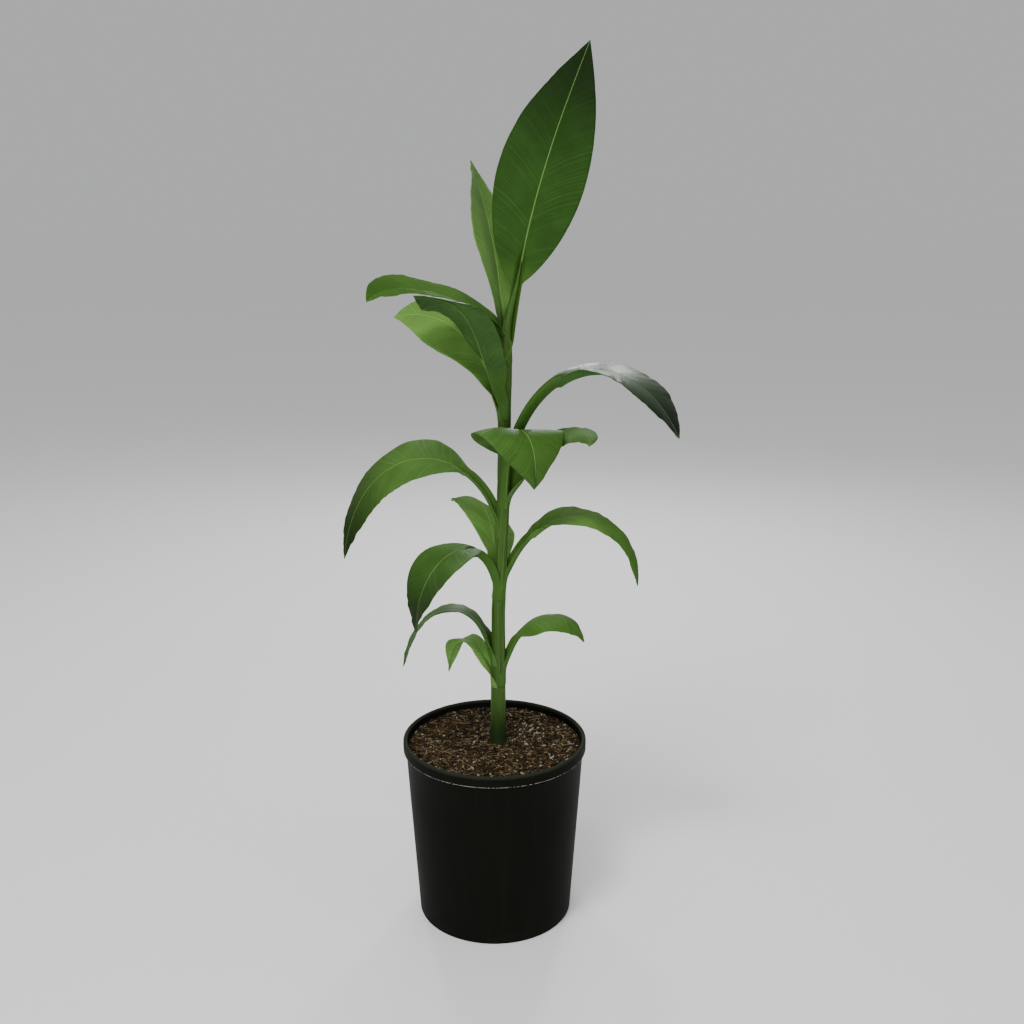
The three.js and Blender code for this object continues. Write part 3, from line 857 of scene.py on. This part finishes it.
def leaf_surfaces(rule, foliage, start, random, columns):
    """Points of the upper and the under side, and the numbers that their finish reads."""
    shape, length = rule.shape, rule.length
    row = leaf_rows(rule, foliage, start)
    share = leaf_columns(rule, row, columns)
    size = np.abs(share)

    # A row follows a side vein: it leaves the midrib slanting forwards, then turns outwards.
    lean, curl = 1.05, 0.27
    half = two_sided(rule, row[:, None], share)
    slant = half * (lean * size - curl * size * size)
    slant = slant * smooth_step(rule.share(row), 0.0, 0.06)[:, None]
    left = np.maximum((1.0 - row[:, None]) * length, 1e-6)
    along = row[:, None] + left * (1.0 - np.exp(-slant / left)) / length
    side = share * two_sided(rule, along, share)
    blade = smooth_step(rule.share(along), 0.0, 0.12)

    # Side veins as ridges, one set on each half, and margins that wave.
    place = np.maximum((row - rule.blade_start) * length, 0.0)
    gap = foliage.vein_gap / MM
    ridge = np.zeros_like(side)
    vein = np.zeros_like(side)
    wave = np.zeros_like(side)
    for sign in (-1, 1):
        part = np.sign(share) == sign
        phase = place / gap + 0.8 * soft_noise(random, place, gap * 2.3) + random.uniform(0, 1)
        strength = 0.65 + 0.6 * soft_noise(random, place, gap * 1.7)
        wavelet = 0.5 + 0.5 * np.cos(2 * math.pi * phase)
        crest = ((2.0 * wavelet**2 - 0.75) * strength)[:, None]
        line = 0.62 * (wavelet**4 - 0.25) * (0.5 + strength)
        line = line + 0.34 * soft_noise(random, place, 1.3) + 0.2 * soft_noise(random, place, 3.1)
        sway = soft_noise(random, place, 19.0) + 0.5 * soft_noise(random, place, 8.0)
        ridge = np.where(part, crest, ridge)
        vein = np.where(part, line[:, None], vein)
        wave = np.where(part, sway[:, None], wave)
    rib_half = rib_width(rule, along)
    off_rib = smooth_step(np.abs(side), rib_half * 0.8, rib_half * 2.2)
    tip = smooth_step(1.0 - rule.share(along), 0.0, 0.08)
    ridge = ridge * off_rib * blade * tip * (1.0 - 0.5 * size**4) * foliage.vein_depth / MM
    wave = wave * size**3 * blade * tip * foliage.flutter / MM
    arch = np.where(share > 0, *shape.camber) * np.sin(math.pi * size * 0.85) * blade * tip
    wing = rule.wing(np.abs(side)) * (1.0 - smooth_step(rule.share(along), 0.0, rule.wing_end))
    lift = ridge + wave + arch + wing

    # The stalk is a deep channel with rounded sides, which narrows to the midrib's groove.
    half_here = two_sided(rule, along, share)
    thick = np.minimum(blend(0.9, foliage.blade / MM / 2, blade), half_here * 0.6)
    depth, _ = rule.keel(along)
    opened = smooth_step(rule.share(along), 0.0, rule.wing_end)
    keel_width = blend(
        shape.stalk_width * rule.wing_width, np.maximum(rib_half * 2.2, depth * 0.55), blade
    )
    keel = rounded(side / np.minimum(keel_width, half_here), blend(0.55, 1.7, opened))
    under = rule.point(along, side, lift - thick - np.maximum(depth - thick, 0.0) * keel)
    groove = blend(0.5 * depth, np.minimum(0.16 * depth, 0.55), opened)
    channel_width = blend(shape.stalk_width * 0.46, rib_half * 1.1, blade)
    channel = rounded(side / np.minimum(channel_width, half_here), 1.1)
    upper = rule.point(along, side, lift + thick - groove * channel)

    stalk = 1.0 - smooth_step(rule.share(along), 0.0, 0.09)
    pale_line = np.minimum(rib_half, midrib_line(shape))
    numbers = {
        "rib": np.clip(1.5 - np.abs(side) / (0.7 * pale_line), 0.0, 1.0),
        "vein": vein * off_rib * blade,
        "stalk": stalk,
        "margin": size,
        "along": rule.share(along),
    }
    return upper, under, numbers


def foot_rings(rule, ring, start, columns, steps=22):
    """The foot of a stalk below its first ring: it widens round the stem and sinks into it."""
    forward = rule.forward(np.array([start]))[0]
    heading = math.radians(rule.shape.heading)
    across = np.linspace(-1.0, 1.0, columns)
    across = np.concatenate((across, across[::-1]))
    outer = np.arange(columns * 2) >= columns
    reach = max(rule.shape.sheath, 30.0) + 12.0
    level = ring[:, 2].mean()
    rings = []
    for share in np.linspace(0.0, 1.0, steps, endpoint=False):
        drop = reach * (1.0 - share)
        run_on = ring - forward * (drop / max(forward[2], 0.5))
        height = blend(level - drop, run_on[:, 2], share)
        turn = heading + across * math.radians(blend(96.0, 58.0, share))
        keel = 0.9 + 3.6 * (1.0 - across * across)
        proud = np.where(outer, blend(-0.6, keel, share**0.7), blend(-2.2, -1.4, share))
        radius = stem_radius(height) + proud
        flat = np.stack((np.cos(turn), np.sin(turn), np.zeros_like(turn)), -1)
        hug = stem_middle(height) + flat * radius[:, None]
        rings.append(blend(hug, run_on, float(smooth_step(share, 0.0, 1.0))))
    return rings


def leaf_mesh(rule, foliage, random, columns):
    """Points, faces, each face's side and the finish numbers of one leaf."""
    start = rule.first_clear()
    upper, under, numbers = leaf_surfaces(rule, foliage, start, random, columns)
    loops = np.concatenate((upper, under[:, ::-1]), 1)
    foot = foot_rings(rule, loops[0], start, columns)
    loops = np.concatenate((np.array(foot), loops), 0)
    count = columns * 2
    rows = len(loops)
    # The loops run clockwise as seen from the tip, so every face is turned to point outwards.
    faces = [face[::-1] for face in tube_faces(rows, count)]
    is_under = np.broadcast_to(np.arange(count)[None, :] >= columns - 1, (rows - 1, count)).ravel()
    sides = np.concatenate((is_under, (True, True))).astype(int)
    for key, values in numbers.items():
        both = np.concatenate((values, values[:, ::-1]), 1)
        numbers[key] = np.concatenate((np.repeat(both[:1], len(foot), 0), both), 0)
    return loops.reshape(-1, 3) * MM, faces, sides, numbers


class PLANT_OT_leaves(bpy.types.Operator):
    """Grow every leaf: a stalk with a channel, a midrib, side veins and waving margins"""

    bl_idname = "plant.leaves"
    bl_label = "Leaves"

    def execute(self, context):
        foliage = context.scene.plant_foliage
        for number, shape in enumerate(map(LeafNumbers, context.scene.plant_leaves)):
            random = np.random.default_rng(foliage.seed * 100 + number)
            rule = LeafRule(shape)
            columns = 37 if shape.width > 80 else 29
            points, faces, sides, numbers = leaf_mesh(rule, foliage, random, columns)
            nodes = [name for name in frame["nodes"] if name.startswith(shape.name)]
            if not nodes:
                raise RuntimeError(f"the packed model has no node for {shape.name}")
            label = shape.name.replace("leaf", "banana_leaf")
            finishes = (
                blade_finish(f"{label}_upper", foliage, shape.tone, shape.gloss, shape.shade),
                under_finish(f"{label}_under", foliage, shape.tone),
            )
            piece = make_piece(label, points, faces, finishes, nodes)
            for key, values in numbers.items():
                store(piece, key, values)
            piece.data.polygons.foreach_set("material_index", sides)
        return {"FINISHED"}


class PLANT_OT_stem(bpy.types.Operator):
    """Build the stem of leaf sheaths wrapped round each other"""

    bl_idname = "plant.stem"
    bl_label = "Stem"

    def execute(self, context):
        stem = context.scene.plant_stem
        leaves = [LeafNumbers(shape) for shape in context.scene.plant_leaves]
        top_of_solid = STEM_OFFSET[0][-1]
        bottom, top = STEM_OFFSET[0][0] - 4.0, top_of_solid + stem.shoot / MM
        rows, columns = 620, 112
        height = np.linspace(bottom, top, rows)[:, None]
        angle = np.linspace(0.0, 2 * math.pi, columns, endpoint=False)[None, :]
        radius = stem_radius(height) + np.zeros_like(angle)
        edge = np.zeros_like(radius)
        shade = np.zeros_like(radius)
        drop = stem.drop / MM
        for shape in leaves:
            below = shape.height + 20.0 - height
            run = np.clip(below / drop, 0.0, 1.0)
            open_half = math.pi * blend(0.17, 0.46, run)
            turn = (angle - math.radians(shape.heading) + math.pi) % (2 * math.pi) - math.pi
            reach = (open_half - np.abs(turn)) * stem_radius(height)
            closing = (below > 0) * (below < drop) * (1.0 - smooth_step(run, 0.5, 1.0))
            inside = smooth_step(reach, -0.35, 0.35)
            radius = radius + stem.step / MM * (inside - 0.5) * closing
            edge = np.maximum(edge, closing * np.exp(-((reach - 0.35) / 0.45) ** 2))
            # shade: painted shade on the lower layer just beside each sheath's edge.
            shade = np.maximum(shade, closing * np.exp(-((reach + 0.75) / 0.8) ** 2))
        random = np.random.default_rng(5)
        ribs = np.zeros_like(angle)
        for count in (23, 37, 52):
            ribs = ribs + np.cos(count * angle + random.uniform(0, 6)) / 3
        radius = radius + stem.ribs / MM * ribs
        radius = radius + 1.4 * np.exp(-np.maximum(height - STEM_OFFSET[0][0], 0.0) / 7.0)
        radius = radius + 0.25 * soft_noise(random, height[:, 0] - bottom, 23.0)[:, None]

        # The top narrows to the furled shoot that stands in the highest stalk's channel.
        rise = np.clip((height - top_of_solid + 20.0) / (top - top_of_solid + 20.0), 0.0, 1.0)
        radius = np.maximum(radius * (1.0 - rise) ** 0.75, 0.25)
        path = LeafRule(leaves[0]).path
        inner = np.stack([np.interp(height[:, 0], path[:, 2], path[:, i]) for i in (0, 1)], -1)
        middle = stem_middle(height[:, 0])
        middle[:, :2] = blend(middle[:, :2], inner, smooth_step(rise, 0.0, 0.8))
        flat = np.stack((np.cos(angle), np.sin(angle), np.zeros_like(angle)), -1)
        points = (middle[:, None, :] + flat * radius[..., None]).reshape(-1, 3) * MM
        faces = tube_faces(rows, columns)
        piece = make_piece("banana_stem", points, faces, (stem_finish(stem),), ("stem",))
        store(piece, "edge", edge)
        store(piece, "shade", shade)
        return {"FINISHED"}


def pot_profile(pot):
    """Radius and height pairs up the outside of the pot, over its lip and down its inside."""
    lip = pot.lip_width / 2
    band_bottom = pot.height - pot.band_height
    soft = 0.6 * MM

    def arc(radius, height, size, start, end, steps):
        for step in range(steps + 1):
            angle = math.radians(start + (end - start) * step / steps)
            yield radius + size * math.cos(angle), height + size * math.sin(angle)

    wall_top = pot.rim_radius - pot.band_step
    foot = pot.foot_radius
    profile = list(arc(pot.base_radius - foot, foot, foot, -90, 5, 6))
    for share in (0.25, 0.5, 0.75):
        profile.append((blend(pot.base_radius, wall_top, share), blend(foot, band_bottom, share)))
    profile += [(wall_top - 0.3 * MM, band_bottom - 1.2 * MM), (wall_top + 0.3 * MM, band_bottom)]
    profile += list(arc(pot.rim_radius - soft, band_bottom + soft, soft, -90, 0, 4))
    profile += [(pot.rim_radius, pot.height - lip - 1.5 * MM)]
    profile += list(arc(pot.rim_radius - lip, pot.height - lip, lip, 0, 180, 14))
    inside_top = (pot.rim_radius - pot.lip_width, pot.height - lip)
    inside_low = (pot.floor_radius, pot.floor)
    for share in (0.04, 0.3, 0.6, 0.96):
        profile.append(tuple(blend(a, b, share) for a, b in zip(inside_top, inside_low)))
    profile.append((pot.floor_radius - 2 * MM, pot.floor))
    return profile


class PLANT_OT_pot(bpy.types.Operator):
    """Turn the nursery pot: foot, tapered wall, band, rounded lip and drain holes"""

    bl_idname = "plant.pot"
    bl_label = "Pot"

    def execute(self, context):
        pot = context.scene.plant_pot
        profile = pot_profile(pot)
        deselect_all()
        radius, height = profile[0]
        bpy.ops.mesh.primitive_circle_add(
            vertices=192, radius=radius, fill_type="NGON", location=(0, 0, height)
        )
        piece = context.object
        piece.name = piece.data.name = "nursery_pot"
        bpy.ops.object.transform_apply(location=True)
        bpy.ops.object.mode_set(mode="EDIT")
        bpy.ops.mesh.select_all(action="SELECT")
        bpy.ops.mesh.delete(type="ONLY_FACE")
        bpy.ops.mesh.select_all(action="SELECT")
        for next_radius, next_height in profile[1:]:
            bpy.ops.mesh.extrude_region_move(
                TRANSFORM_OT_translate={"value": (0, 0, next_height - height)}
            )
            scale = next_radius / radius
            bpy.ops.transform.resize(value=(scale, scale, 1), center_override=(0, 0, next_height))
            radius, height = next_radius, next_height
        bpy.ops.mesh.edge_face_add()
        bpy.ops.mesh.select_all(action="DESELECT")
        bpy.ops.mesh.select_non_manifold()
        bpy.ops.mesh.edge_face_add()
        bpy.ops.mesh.select_all(action="SELECT")
        bpy.ops.mesh.normals_make_consistent(inside=False)
        bpy.ops.object.mode_set(mode="OBJECT")
        for number in range(pot.drains):
            self.drill(piece, pot, 2 * math.pi * number / pot.drains)
        deselect_all()
        piece.select_set(True)
        context.view_layer.objects.active = piece
        bpy.ops.object.shade_smooth_by_angle(angle=math.radians(32))
        settle_piece(piece, (plastic_finish(pot),), ("pot",), smooth=False)
        return {"FINISHED"}

    @staticmethod
    def drill(piece, pot, angle):
        deselect_all()
        bpy.ops.mesh.primitive_cylinder_add(
            vertices=32, radius=pot.drain_radius, depth=pot.floor * 4,
            location=(pot.drain_circle * math.cos(angle), pot.drain_circle * math.sin(angle), 0),
        )
        bit = bpy.context.object
        cut = piece.modifiers.new("drain", "BOOLEAN")
        cut.operation = "DIFFERENCE"
        cut.solver = "EXACT"
        cut.object = bit
        bpy.context.view_layer.objects.active = piece
        bpy.ops.object.modifier_apply(modifier=cut.name)
        bpy.data.objects.remove(bit)


def pot_inside(pot, height):
    """Radius of the pot's inside at a height, in metres."""
    top = pot.height - pot.lip_width / 2
    share = (height - pot.floor) / (top - pot.floor)
    return blend(pot.floor_radius, pot.rim_radius - pot.lip_width, share)


def ground_height(soil, pot, x, y):
    """Height of the mix's surface in metres, with its humps and hollows."""
    room_for_chips = 1.2 * MM
    out = np.hypot(x, y) / pot_inside(pot, soil.level)
    height = soil.level - soil.dip * out**2 - room_for_chips
    for number, (size, share) in enumerate(((70.0, 0.45), (140.0, 0.3), (310.0, 0.25))):
        turn = 0.9 * number
        u = x * math.cos(turn) - y * math.sin(turn)
        v = x * math.sin(turn) + y * math.cos(turn)
        height = height + soil.bump * share * np.sin(size * u + number) * np.sin(size * 1.13 * v)
    return height


class PLANT_OT_soil(bpy.types.Operator):
    """Fill the pot with the fine mix that shows between the chips"""

    bl_idname = "plant.soil"
    bl_label = "Potting Mix"

    def execute(self, context):
        soil, pot = context.scene.plant_soil, context.scene.plant_pot
        random = np.random.default_rng(soil.seed)
        rings, columns = 84, 200
        share = np.linspace(0.0, 1.0, rings + 1)[1:, None]
        angle = np.linspace(0.0, 2 * math.pi, columns, endpoint=False)[None, :]
        wall = pot_inside(pot, soil.level) - 0.3 * MM
        x = wall * share * np.cos(angle)
        y = wall * share * np.sin(angle)
        crumb = random.uniform(-0.6, 0.6, x.shape) * MM * (share < 1)
        z = ground_height(soil, pot, x, y) + crumb
        top = np.stack((x, y, z), -1).reshape(-1, 3)
        deep = pot.floor + 0.4 * MM
        skirt_radius = pot_inside(pot, deep) - 0.5 * MM
        flat = np.stack((np.cos(angle[0]), np.sin(angle[0])), -1) * skirt_radius
        skirt = np.column_stack((flat, np.full(columns, deep)))
        middle = (0.0, 0.0, float(ground_height(soil, pot, 0.0, 0.0)))
        points = np.concatenate((top, skirt, [middle]))
        faces = []
        for ring in range(rings):
            for column in range(columns):
                after = (column + 1) % columns
                a, b = ring * columns + column, ring * columns + after
                faces.append((a, a + columns, b + columns, b))
        centre = len(points) - 1
        faces += [(centre, column, (column + 1) % columns) for column in range(columns)]
        faces.append(tuple(range(rings * columns, (rings + 1) * columns))[::-1])
        make_piece("potting_mix", points, faces, (earth_finish(soil),), ("soil",))
        return {"FINISHED"}


# Bark colours, with the share of the chips that have each one.
BARK = {
    "bark_umber": (0.32, (0.0145, 0.01, 0.0034)),
    "bark_brown": (0.29, (0.034, 0.022, 0.0064)),
    "bark_red": (0.15, (0.052, 0.03, 0.009)),
    "bark_tan": (0.18, (0.083, 0.06, 0.0215)),
    "bark_pale": (0.06, (0.33, 0.3, 0.21)),
}


def chip_points(random, count, length, width, height):
    """Flat six-sided splinters, each with its own outline. Twelve points each."""
    corner = np.radians(np.array((8, 62, 118, 188, 240, 300)))
    angle = corner[None, :] + random.uniform(-0.25, 0.25, (count, 6))
    size = random.uniform(0.7, 1.1, (count, 6))
    x = np.cos(angle) * size * length[:, None] / 2
    y = np.sin(angle) * size * width[:, None] / 2
    z = height[:, None] / 2 * random.uniform(0.6, 1.0, (count, 6))
    shrink = random.uniform(0.72, 0.98, (count, 1))
    upper = np.stack((x * shrink, y * shrink, z), -1)
    lower = np.stack((x, y, -z), -1)
    return np.concatenate((upper, lower), 1)


CHIP_FACES = [(0, 1, 2, 3, 4, 5), (11, 10, 9, 8, 7, 6)] + [
    (i, i + 6, (i + 1) % 6 + 6, (i + 1) % 6) for i in range(6)
]


def turned(random, points, tilt):
    """Turns each group of points by any heading and by up to the tilt."""
    count = len(points)
    heading = random.uniform(0, 2 * math.pi, count)
    pitch = random.normal(0, 1, count) * tilt
    roll = random.normal(0, 1, count) * tilt
    for angle, (i, j) in ((roll, (1, 2)), (pitch, (0, 2)), (heading, (0, 1))):
        c, s = np.cos(angle)[:, None], np.sin(angle)[:, None]
        first = points[..., i] * c - points[..., j] * s
        second = points[..., i] * s + points[..., j] * c
        points[..., i], points[..., j] = first, second
    return points


def strewn(random, soil, pot, count, spare):
    """Places on the mix that keep clear of the wall and of the stem's middle."""
    wall = pot_inside(pot, soil.level) - spare
    distance = wall * np.sqrt(random.uniform(0.0, 1.0, count))
    angle = random.uniform(0.0, 2 * math.pi, count)
    x, y = distance * np.cos(angle), distance * np.sin(angle)
    near_stem = np.hypot(x - STEM_OFFSET[1][0] * MM, y) < 11 * MM
    return np.where(near_stem, x + 30 * MM, x), y


def faces_of(count, points_each, pattern):
    faces = []
    for number in range(count):
        base = number * points_each
        faces.extend(tuple(base + i for i in face) for face in pattern)
    return faces


class PLANT_OT_chips(bpy.types.Operator):
    """Strew bark chips, fibres and pale grains over the mix"""

    bl_idname = "plant.chips"
    bl_label = "Chips"

    def execute(self, context):
        soil, pot = context.scene.plant_soil, context.scene.plant_pot
        random = np.random.default_rng(soil.seed + 1)
        for name, (share, colour) in BARK.items():
            count = int(soil.chips * share)
            length = random.gamma(3.2, 1.35, count).clip(1.6, 13.0) * MM
            width = length * random.uniform(0.3, 0.75, count)
            height = np.minimum(width, 3.0 * MM) * random.uniform(0.35, 0.8, count)
            points = turned(random, chip_points(random, count, length, width, height), 0.3)
            finish = chip_finish(name, colour)
            self.lay(random, soil, pot, name, points, finish, length)
        count = soil.grains
        size = random.uniform(1.2, 3.2, count) * MM
        points = turned(random, chip_points(random, count, size, size * 0.85, size * 0.8), 1.0)
        pale = chip_finish("mineral", (0.56, 0.52, 0.44))
        self.lay(random, soil, pot, "mineral_grains", points, pale, size)
        self.lay_fibres(random, soil, pot)
        return {"FINISHED"}

    @staticmethod
    def lay(random, soil, pot, name, points, finish, length):
        count, each = points.shape[:2]
        x, y = strewn(random, soil, pot, count, length / 2 + 0.4 * MM)
        z = ground_height(soil, pot, x, y) + random.uniform(-0.2, 1.9, count) * MM
        points = points + np.stack((x, y, z), -1)[:, None, :]
        faces = faces_of(count, each, CHIP_FACES)
        make_piece(name, points.reshape(-1, 3), faces, (finish,), smooth=False)

    @staticmethod
    def lay_fibres(random, soil, pot):
        """Curved three-sided threads of seven rings."""
        count, rings = soil.fibres, 7
        length = random.uniform(6.0, 22.0, count) * MM
        thick = random.uniform(0.18, 0.42, count) * MM
        bow = random.normal(0, 0.16, count) * length
        along = np.linspace(-0.5, 0.5, rings)[None, :]
        x = along * length[:, None]
        y = bow[:, None] * (1 - 4 * along**2)
        z = 0.6 * MM * np.cos(3.0 * along) * np.ones_like(y)
        taper = (1.0 - 0.7 * (2 * np.abs(along)) ** 3) * thick[:, None]
        corners = []
        for corner in range(3):
            angle = 2 * math.pi * corner / 3 + 0.5
            y_off, z_off = taper * math.cos(angle), taper * math.sin(angle)
            corners.append(np.stack((x, y + y_off, z + z_off), -1))
        points = turned(random, np.stack(corners, 2).reshape(count, rings * 3, 3), 0.07)
        pattern = [
            (r * 3 + c, r * 3 + (c + 1) % 3, (r + 1) * 3 + (c + 1) % 3, (r + 1) * 3 + c)
            for r in range(rings - 1) for c in range(3)
        ]
        pattern += [(2, 1, 0), (rings * 3 - 3, rings * 3 - 2, rings * 3 - 1)]
        x, y = strewn(random, soil, pot, count, length / 2 + 1.0 * MM)
        z = ground_height(soil, pot, x, y) + random.uniform(1.0, 2.6, count) * MM
        points = points + np.stack((x, y, z), -1)[:, None, :]
        finish = chip_finish("fibre", (0.34, 0.22, 0.12))
        faces = faces_of(count, rings * 3, pattern)
        make_piece("coir_fibres", points.reshape(-1, 3), faces, (finish,), smooth=False)


# Where each lamp stands and how wide it is, in metres, and its power in watts.
LAMPS = {
    "key": ((-0.6, -1.3, 3.3), 0.8, 58),
    "fill": ((2.4, -1.3, 1.6), 1.4, 8),
    "front": ((-0.5, -2.9, 1.1), 1.6, 46),
    "back_left": ((-0.8, 2.2, 2.6), 0.4, 18),
    "back_right": ((0.7, 2.3, 2.1), 0.4, 20),
    "back_low": ((0.1, 2.7, 1.4), 0.35, 10),
}


class PLANT_OT_stage(bpy.types.Operator):
    """Set up the pale floor, the soft studio light and the camera"""

    bl_idname = "plant.stage"
    bl_label = "Floor, Light and Camera"

    def execute(self, context):
        stage = context.scene.plant_stage
        deselect_all()
        bpy.ops.mesh.primitive_plane_add(size=40)
        floor = context.object
        floor.name = "studio_floor"
        finish = Finish("floor", Roughness=0.7)
        cloud = finish.noise(0.8, 3, 0.5)
        finish.set(Base_Color=finish.mix(cloud, scaled(stage.floor, 0.97), stage.floor[:]))
        floor.data.materials.append(finish.material)

        world = bpy.data.worlds.new("studio")
        world.use_nodes = True
        background = world.node_tree.nodes["Background"]
        background.inputs["Color"].default_value = (0.98, 0.985, 1.0, 1.0)
        background.inputs["Strength"].default_value = stage.ambient
        context.scene.world = world

        sun = bpy.data.lights.new("sun", "SUN")
        sun.energy = 0.47
        sun.angle = math.radians(25)
        lamp = bpy.data.objects.new("sun", sun)
        lamp.rotation_euler = Vector((-0.45, -0.55, 1.0)).to_track_quat("Z", "Y").to_euler()
        context.scene.collection.objects.link(lamp)
        for name, (place, size, power) in LAMPS.items():
            self.hang_lamp(name, place, size, power)

        camera = bpy.data.objects.new("camera", bpy.data.cameras.new("camera"))
        camera.location = stage.camera
        camera.rotation_euler = (math.pi / 2 - stage.pitch, 0, 0)
        camera.data.sensor_width = 36
        camera.data.angle = stage.view_angle
        context.scene.collection.objects.link(camera)
        context.scene.camera = camera
        return {"FINISHED"}

    @staticmethod
    def hang_lamp(name, place, size, power, target=(0, 0, 0.65)):
        light = bpy.data.lights.new(name, "AREA")
        light.shape = "DISK"
        light.size = size
        light.energy = power
        lamp = bpy.data.objects.new(name, light)
        lamp.location = place
        lamp.visible_camera = False
        away = Vector(place) - Vector(target)
        lamp.rotation_euler = away.to_track_quat("Z", "Y").to_euler()
        bpy.context.scene.collection.objects.link(lamp)


class PLANT_PT_panel(bpy.types.Panel):
    """Lists the plant's pieces and their settings"""

    bl_idname = "PLANT_PT_panel"
    bl_label = "Banana Plant"
    bl_space_type = "VIEW_3D"
    bl_region_type = "UI"
    bl_category = "Banana Plant"

    def draw(self, context):
        for title, operators, settings in SECTIONS:
            box = self.settings_box(title, getattr(context.scene, settings))
            for operator in operators:
                box.operator(operator)
        for shape in context.scene.plant_leaves:
            self.settings_box(shape.name, shape)

    def settings_box(self, title, group):
        box = self.layout.box()
        box.label(text=title)
        for key in group.__annotations__:
            box.prop(group, key)
        return box


SECTIONS = (
    ("Pot", ("plant.pot",), "plant_pot"),
    ("Potting Mix", ("plant.soil", "plant.chips"), "plant_soil"),
    ("Stem", ("plant.stem",), "plant_stem"),
    ("Leaves", ("plant.leaves",), "plant_foliage"),
    ("Stage", ("plant.stage",), "plant_stage"),
)

SETTINGS = {
    "plant_pot": PotSettings,
    "plant_soil": SoilSettings,
    "plant_stem": StemSettings,
    "plant_foliage": FoliageSettings,
    "plant_stage": StageSettings,
}

CLASSES = (
    *SETTINGS.values(),
    LeafShape,
    PLANT_OT_pot,
    PLANT_OT_soil,
    PLANT_OT_chips,
    PLANT_OT_stem,
    PLANT_OT_leaves,
    PLANT_OT_stage,
    PLANT_PT_panel,
)


def register():
    for item in CLASSES:
        bpy.utils.register_class(item)
    for name, group in SETTINGS.items():
        setattr(bpy.types.Scene, name, PointerProperty(type=group))
    bpy.types.Scene.plant_leaves = CollectionProperty(type=LeafShape)


def unregister():
    del bpy.types.Scene.plant_leaves
    for name in SETTINGS:
        delattr(bpy.types.Scene, name)
    for item in reversed(CLASSES):
        bpy.utils.unregister_class(item)


def list_leaves(scene):
    """Puts every leaf's own shape in the scene, where the sidebar shows it."""
    scene.plant_leaves.clear()
    for name, fields in LEAVES.items():
        shape = scene.plant_leaves.add()
        shape.name = name
        for field, value in fields.items():
            setattr(shape, field, converted(value, leaf_unit(field)))


def main():
    register()
    list_leaves(bpy.context.scene)
    bpy.ops.plant.stage()
    bpy.ops.plant.pot()
    bpy.ops.plant.soil()
    bpy.ops.plant.chips()
    bpy.ops.plant.stem()
    bpy.ops.plant.leaves()


if __name__ == "__main__":
    main()
